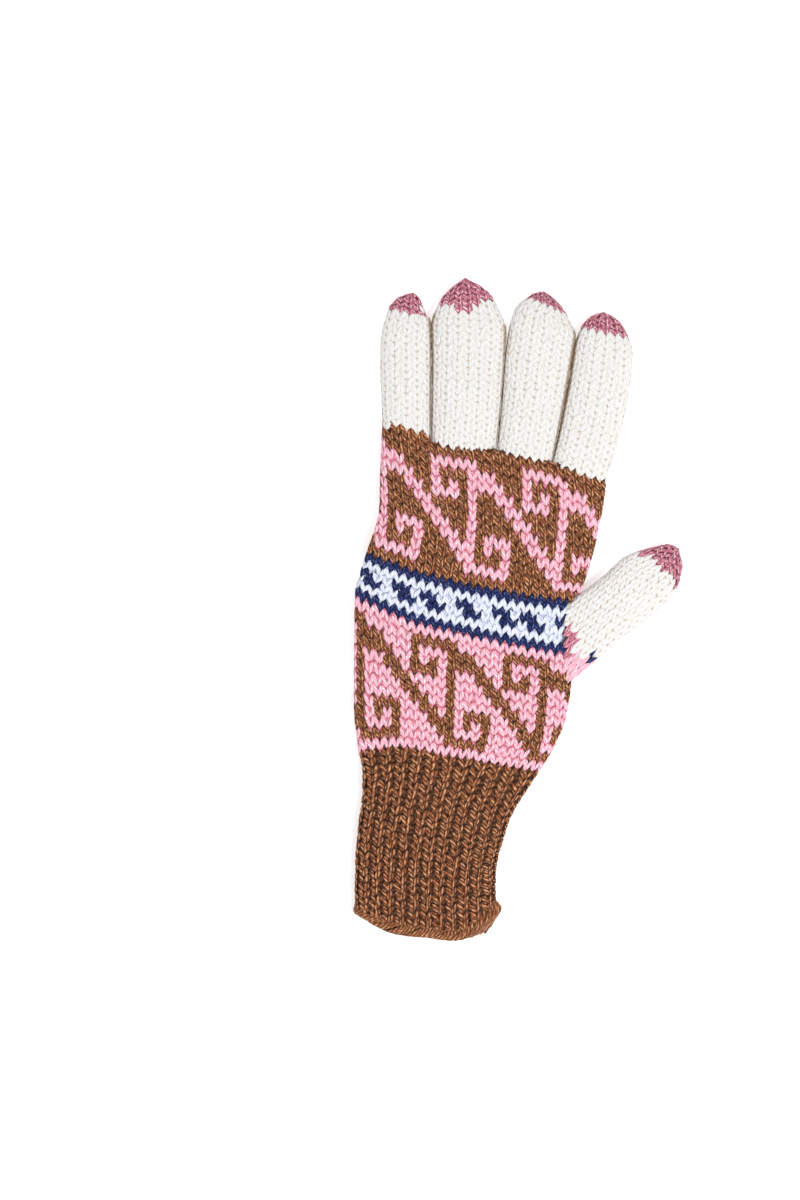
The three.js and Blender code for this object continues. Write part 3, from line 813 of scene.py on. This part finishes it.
def backing(cloth, first, last, depth, yarn_index, columns, inward=False):
    """The cloth seen between the stitches, or the inner face of a wall."""
    rows = np.linspace(first, last, max(int((last - first) * 2), 1) + 1)
    turns = np.linspace(0, 1, columns + 1)
    if not inward:
        turns = turns[::-1]
    row, turn = np.meshgrid(rows, turns, indexing="ij")
    points = cloth.tube.at(turn, row, np.full(row.shape, -depth))
    points[..., 2] = np.maximum(points[..., 2], min(depth, LINING_LOW))
    strand = np.stack([row * SHEET_YARN, turn * cloth.tube.length_round(row)], axis=-1)
    cloth.add_grids(points[None], yarn_index, strand[None], SHEET_TONE, SHEET_UNDER, "sheet")


# The lower and the upper edge of a patch of cloth from left to right, in rows, and the same for the
# last row of a section.
CHEVRON = [[0.4, -0.55, 0.4], [1.4, 0.45, 1.4]]
EDGE_PATCH = [[0.3, 0.3, 0.3], [1.2, 1.2, 1.2]]
PATCH_TONE, PATCH_YARN = 0.5, 4  # its tone, and millimetres of yarn for each row


def behind(cloth, wales, rows, yarns, depth, under, patch=CHEVRON):
    """The cloth behind each stitch, a patch in the stitch's own colour that under darkens with painted
    shade.
    """
    x = np.array([[-0.5, 0.0, 0.5]] * 2)
    y = np.array(patch)
    row = rows[:, None, None] + y[None]
    points = cloth.at(wales[:, None, None] + x[None], row, np.full(row.shape, -depth))
    start = wobble.random((len(wales), 1, 1, 2)) * [0, YARN_START]
    strand = np.stack([0.5 + 0 * x, y * PATCH_YARN], axis=-1)[None] + start
    cloth.add_grids(points, yarns, strand, PATCH_TONE, under)


def fill_edge(cloth, wales, rows, yarns, depth, under):
    """The same for the last row, up to the straight end of its section."""
    edge = rows == rows.max()
    behind(cloth, wales[edge], rows[edge], yarns[edge], depth, under, EDGE_PATCH)


def every_stitch(wales, rows):
    """Wale and row numbers of all stitches of a tube."""
    row, wale = np.meshgrid(np.arange(rows), np.arange(wales), indexing="ij")
    return wale.ravel().astype(float), row.ravel().astype(float)


# The hand.
hand = Tube(HAND, [(3, LOWER_ROWS), (5, BORDER_ROWS), (8, UPPER_ROWS)])


def hand_turn(wale, row):
    """The turn at which a wale of the hand lies in a row."""
    fold, front = hand.column(10, row), hand.column(11, row)
    past = (wale - fold) % HAND_WALES
    above = 0.5 * (1 - past / front)
    below = 0.5 + 0.5 * (HAND_WALES - past) / (HAND_WALES - front)
    return np.where(past <= front, above, below)


def inside_thumb(points):
    """True for points that the thumb's tube takes the place of."""
    table = np.array(THUMB)
    edge = np.concatenate([table[:, 0:2], table[::-1, 2:4]])
    x, y = points[:, 0], points[:, 1]
    found = np.zeros(len(points), bool)
    for (x0, y0), (x1, y1) in zip(edge, np.roll(edge, -1, axis=0)):
        crosses = (y0 > y) != (y1 > y)
        met = x0 + (x1 - x0) * (y - y0) / (y1 - y0 if y1 != y0 else 1e-9)
        found ^= crosses & (x < met)
    return found


# The yarn of each stitch of a band, by its wale and its row counted from the fingers.
def scrolls(motif, ground):
    chart = np.array([[mark == "#" for mark in line] for line in SCROLL])
    return lambda wale, row: np.where(chart[row.astype(int), wale.astype(int) % 10], motif, ground)


def navy_steps(wale, row):
    found = np.where(np.isin(row, [0, 5]), NAVY_END, WHITE_END)
    for start in BORDER_STEPS:
        upper = (row == 2) & np.isin(wale, [start, start + 1])
        lower = (row == 3) & np.isin(wale, [start + 1, start + 2])
        found = np.where(upper | lower, NAVY_END, found)
    return found


HAND_HAIRS = 90  # for each row
HAND_UNDER = 0.5  # how much painted shade the cloth behind the stitches gets
HAND_COLUMNS = 60  # of the lining


def hand_band(name, first, count, yarn_of, ground):
    wale, row = every_stitch(HAND_WALES, count)
    colours = yarn_of(wale, count - 1 - row)
    row = row + first
    cloth = Cloth(name, hand, hand_turn)
    keep = ~inside_thumb(cloth.at(wale, row + 0.5))
    wale, row, colours = wale[keep], row[keep], colours[keep]
    tall = BORDER_TALL if name == "border_knit" else SCROLL_TALL
    gauge = Gauge(HAND_STITCH, tall, STRAND, end=1.08, high=0.75, dive=0.3)
    knit(cloth, gauge, wale, row, colours)
    fuzz(cloth, wale, row, colours, HAND_HAIRS * count)
    behind(cloth, wale, row, colours, HAND_CLOTH, HAND_UNDER)
    if name == "upper_knit":
        fill_edge(cloth, wale, row, colours, HAND_CLOTH, HAND_UNDER)
    backing(cloth, first, first + count, HAND_WALL, ground, HAND_COLUMNS, inward=True)
    return cloth.make()


lower = hand_band("lower_knit", 0, LOWER_ROWS, scrolls(BROWN_END, PINK_END), PINK_END)
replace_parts(lower, "lower_band")
border = hand_band("border_knit", LOWER_ROWS, BORDER_ROWS, navy_steps, WHITE_END)
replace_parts(border, "border_band")
upper_start = LOWER_ROWS + BORDER_ROWS
upper = hand_band("upper_knit", upper_start, UPPER_ROWS, scrolls(PINK_END, BROWN_END), BROWN_END)
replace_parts(upper, "upper_band")


# The cuff.
def rib_relief(turns):
    return RIB_DEPTH * np.cos(turns * RIB_COUNT * 2 * math.pi) - RIB_DEPTH


CUFF_HAIRS = 1400
# How much painted shade the cloth behind the cuff's stitches gets.
CUFF_UNDER = 0.85
CUFF_COLUMNS = 96

cuff_tube = Tube(CUFF, [(5, RIBBING_ROWS)], relief=rib_relief)
cuff_cloth = Cloth("cuff_knit", cuff_tube, even_turn(RIB_COUNT))
wale, row = every_stitch(RIB_COUNT, RIBBING_ROWS + 1)
row = np.maximum(row - 1, -0.5)  # the first row begins under the roll
brown = np.full(len(wale), BROWN_END)
ribs = Gauge(RIB_STITCH, RIB_TALL, STRAND, top=0.41, high=0.8, dive=0.3, even=0.8)
knit(cuff_cloth, ribs, wale, row, brown)
lay_strands(cuff_cloth, ribs, ribs.purl(), wale + 0.5, row, brown)
fuzz(cuff_cloth, wale, row, brown, CUFF_HAIRS)
behind(cuff_cloth, wale, row, brown, HAND_CLOTH, CUFF_UNDER)
fill_edge(cuff_cloth, wale, row, brown, HAND_CLOTH, CUFF_UNDER)
backing(cuff_cloth, 0, RIBBING_ROWS, CUFF_WALL, BROWN_END, CUFF_COLUMNS, inward=True)
cuff = cuff_cloth.make()
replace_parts(cuff, "cuff")

# The cast-on edge: strands that wind round the rim like a rope.
CAST_ON_STRANDS = 46
CAST_ON_ROWS, CAST_ON_TALL = 3, 5.3  # rows of its tube, and their height in all
ROLL_TALL, ROLL_HIGH = 2.5, 1.1  # half sizes of the roll's core
ROLL_ROW, ROLL_SINK = 1.85, 1.35  # the core's row, and how far it lies below the tube's face
ROLL_GIRTH = 2.6  # mean half size of the roll with its strands
ROLL_SLANT = math.radians(27)
ROLL_FIRST, ROLL_WIND = math.radians(-80), math.radians(310)  # where a strand begins, and its way round
ROLL_STEPS = 16
ROLL_SIDE = 100  # degrees from a strand's crest to where its outer side ends
ROLL_STRAND, ROLL_CREST = 0.8, 0.5  # half a strand's width, and how much of it stands up
ROLL_TAPER = 0.12  # how much a strand's ends keep of its width
ROLL_BEFORE = 0.45  # share of a strand that lies before its own place round the rim
ROLL_FAT, ROLL_OUT, ROLL_SHIFT = 0.1, 0.07, 0.15  # how unevenly the strands lie
ROLL_HAIRS = 1600
ROLL_CORE, ROLL_LINING = 0.7, 2.2  # depths of the cloth behind the strands and of the inner face
ROLL_CLOTH = 0.4  # the row where both begin


def wind_strands(cloth):
    t = np.linspace(0, 1, ROLL_STEPS + 1)[:, None]
    bend = np.radians(np.linspace(ROLL_SIDE, -ROLL_SIDE, LEG_FACES + 1))[None, :]
    circumference = float(cloth.tube.length_round(CAST_ON_ROWS / 2))
    drift = ROLL_WIND * ROLL_GIRTH / math.tan(ROLL_SLANT)
    taper = np.sin(math.pi * (ROLL_TAPER + (1 - 2 * ROLL_TAPER) * t)) ** 0.5
    for number in range(CAST_ON_STRANDS):
        thick = (1 + wobble.normal(0, ROLL_FAT)) * ROLL_STRAND * taper
        sideways = thick * np.sin(bend)
        out = thick * np.cos(bend) * ROLL_CREST + wobble.normal(0, ROLL_OUT)
        angle = ROLL_FIRST + ROLL_WIND * t + sideways * math.cos(ROLL_SLANT) / ROLL_GIRTH
        start = (number + wobble.normal(0, ROLL_SHIFT)) * circumference / CAST_ON_STRANDS
        turn = (start + drift * (t - ROLL_BEFORE) - sideways * math.sin(ROLL_SLANT)) / circumference
        row = ROLL_ROW - np.sin(angle) * (ROLL_TALL + out) * CAST_ON_ROWS / CAST_ON_TALL
        height = np.cos(angle) * (ROLL_HIGH + out) - ROLL_SINK
        points = cloth.tube.at(turn, row, height)
        along = np.broadcast_to(t * (ROLL_WIND * ROLL_GIRTH / math.sin(ROLL_SLANT)), sideways.shape)
        across = np.broadcast_to(np.linspace(0, 1, LEG_FACES + 1), sideways.shape)
        strand = np.stack([across, along + wobble.random() * YARN_START], axis=-1)
        cloth.add_grids(points[None], BROWN_END, strand[None], wobble.random(), 0.0)


roll_wales = WALES_ROUND["cast_on_roll"]
roll = Cloth("cast_on_roll", Tube(CAST_ON_EDGE, [(3, CAST_ON_ROWS)]), even_turn(roll_wales))
wind_strands(roll)
wale, row = every_stitch(roll_wales, CAST_ON_ROWS)
fuzz(roll, wale, row, np.full(len(wale), BROWN_END), ROLL_HAIRS, 0.0)
backing(roll, ROLL_CLOTH, CAST_ON_ROWS, ROLL_CORE, BROWN_END, CUFF_COLUMNS)
backing(roll, ROLL_CLOTH, CAST_ON_ROWS, ROLL_LINING, BROWN_END, CUFF_COLUMNS, inward=True)
cast_on = roll.make()
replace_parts(cast_on, "cast_on_edge")


# Fingers and thumb.
FINGER_STRAND, TIP_STRAND = 0.24, 0.25  # half the width of a strand, as a share of a stitch
FINGER_LOWER = 0.2  # rows that the stitches lie below their own row
FINGER_HAIRS = 20  # for each row
# How much painted shade the cloth behind the stitches of a finger and of a tip gets.
FINGER_UNDER, TIP_UNDER = 0.1, 0.6
FINGER_COLUMNS, TIP_COLUMNS = 40, 48
TIP_BACK = 0.8  # depth of the cloth that closes a tip behind its stitches


def with_strays(colours, wale, row, wales, strays):
    """Changes the yarn of single stitches. A stray is a row, the wales on it and their yarn."""
    for line, places, yarn_index in strays:
        colours[(row == line) & np.isin(wale, np.array(places) % wales)] = yarn_index
    return colours


def finger(name, table, rows, strays=(), on_hand=True):
    wales = WALES_ROUND[name]
    tube = Tube(table, [(len(table) - 1, rows)], on_hand=on_hand)
    cloth = Cloth(name, tube, even_turn(wales))
    wale, row = every_stitch(wales, rows)
    colours = with_strays(np.full(len(wale), CREAM_END), wale, row, wales, strays)
    wide = float(tube.length_round(rows / 2)) / wales
    strand = FINGER_STRAND * wide
    gauge = Gauge(wide, FINGER_TALL, strand, top=0.46, end=1.25, high=0.3, dive=0.2, tip=0.0)
    knit(cloth, gauge, wale, row - FINGER_LOWER, colours)
    fuzz(cloth, wale, row, colours, FINGER_HAIRS * rows)
    behind(cloth, wale, row, colours, FINGER_CLOTH, FINGER_UNDER)
    fill_edge(cloth, wale, row, colours, TIP_CLOTH, FINGER_UNDER)
    backing(cloth, 0, rows, FINGER_WALL, CREAM_END, FINGER_COLUMNS, inward=True)
    piece = cloth.make()
    return piece


def fingertip(name, table, wales, rows, strays=()):
    """A closed end. It starts with the finger's wales and loses some in each row."""
    tube = Tube(table, [(len(table) - 1, rows)], closed=True)
    cloth = Cloth(name, tube, even_turn(wales))
    wide = float(tube.length_round(0)) / wales
    gauge = Gauge(wide, FINGER_TALL, TIP_STRAND * wide)
    for row in range(rows):
        left = max(int(round(float(tube.length_round(row + 0.4)) / wide)), 4)
        numbers = np.arange(left).astype(float)
        rows_of = np.full(left, float(row))
        colours = with_strays(np.full(left, ROSE_END), numbers, rows_of, left, strays)
        cloth.turn_of = even_turn(left)
        knit(cloth, gauge, numbers, rows_of, colours)
        behind(cloth, numbers, rows_of, colours, TIP_CLOTH, TIP_UNDER)
    backing(cloth, 0, rows, TIP_BACK, ROSE_END, TIP_COLUMNS)
    piece = cloth.make()
    return piece


little_row, ring_row = pressed_together(LITTLE_FINGER, RING_FINGER)
ring_row, middle_row = pressed_together(ring_row, MIDDLE_FINGER)
middle_row, index_row = pressed_together(middle_row, INDEX_FINGER)
LITTLE_STRAYS = [(0, range(-1, 10), BROWN_END)]
THUMB_STRAYS = [
    (0, range(-1, 2), ROSE_END),
    (1, [0], ROSE_END),
    (0, range(2, 10), PINK_END),
    (1, range(2, 10), PINK_END),
    (2, range(3, 9), PINK_END),
    (3, range(4, 8), PINK_END),
    (3, [3], NAVY_END),
    (14, range(-4, -2), ROSE_END),
]
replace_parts(finger("little_finger_knit", little_row, 17, LITTLE_STRAYS), "little_finger")
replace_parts(finger("ring_finger_knit", ring_row, 21, [(20, [-1, 0], ROSE_END)]), "ring_finger")
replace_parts(finger("middle_finger_knit", middle_row, 22), "middle_finger")
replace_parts(finger("index_finger_knit", index_row, 20), "index_finger")
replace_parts(finger("thumb_knit", THUMB, 15, THUMB_STRAYS, on_hand=False), "thumb")
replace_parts(fingertip("little_tip_knit", LITTLE_TIP, 12, 4, [(1, [2], CREAM_END)]), "little_tip")
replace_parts(fingertip("ring_tip_knit", RING_TIP, 16, 5, [(0, [2, 3], CREAM_END)]), "ring_tip")
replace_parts(fingertip("middle_tip_knit", MIDDLE_TIP, 15, 4), "middle_tip")
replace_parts(fingertip("index_tip_knit", INDEX_TIP, 14, 4), "index_tip")
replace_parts(fingertip("thumb_tip_knit", THUMB_TIP, 17, 5, [(0, [1, 2], CREAM_END)]), "thumb_tip")

# The table, the light and the camera.
FLOOR = Finish("pale_table", 0.9)
FLOOR.surface({"Base Color": linear(248, 248, 248), "Emission Color": linear(255, 255, 255)})
FLOOR.surface({"Emission Strength": 0.45})
bpy.ops.mesh.primitive_plane_add(size=4.0, location=(0, 0, 0))
floor = bpy.context.object
floor.name = "floor"
floor.data.materials.append(FLOOR.material)


def softbox(name, place, size, power):
    """A lamp that aims at the origin. place and size are in metres and power is in watts."""
    lamp = bpy.data.lights.new(name, "AREA")
    lamp.shape = "RECTANGLE"
    lamp.size, lamp.size_y = size
    lamp.energy = power
    box = bpy.data.objects.new(name, lamp)
    box.location = place
    aim = -np.array(place)
    steep = math.atan2(math.hypot(aim[0], aim[1]), -aim[2])
    box.rotation_euler = (steep, 0, math.atan2(aim[1], aim[0]) + 1.5 * math.pi)
    bpy.context.scene.collection.objects.link(box)


softbox("key_light", place=(0.45, -0.35, 1.1), size=(0.5, 0.5), power=13)
softbox("fill_light", place=(-0.8, 0.7, 1.1), size=(1.0, 1.0), power=7)

world = bpy.data.worlds.new("studio")
world.use_nodes = True
sky = world.node_tree.nodes["Background"]
sky.inputs["Color"].default_value = (1, 1, 1, 1)
sky.inputs["Strength"].default_value = 0.4
bpy.context.scene.world = world
bpy.context.scene.view_settings.view_transform = "Standard"

# Metres of table that the picture's height covers, and the place in its middle.
PHOTO_TALL = 0.48
PHOTO_X, PHOTO_Y = -0.047, 0.0043
LENS, SENSOR = 85, 36
camera = bpy.data.cameras.new("camera")
camera.lens = LENS
camera.sensor_width = SENSOR
view = bpy.data.objects.new("camera", camera)
view.location = (PHOTO_X, PHOTO_Y, PHOTO_TALL / SENSOR * LENS)
bpy.context.scene.collection.objects.link(view)
bpy.context.scene.camera = view
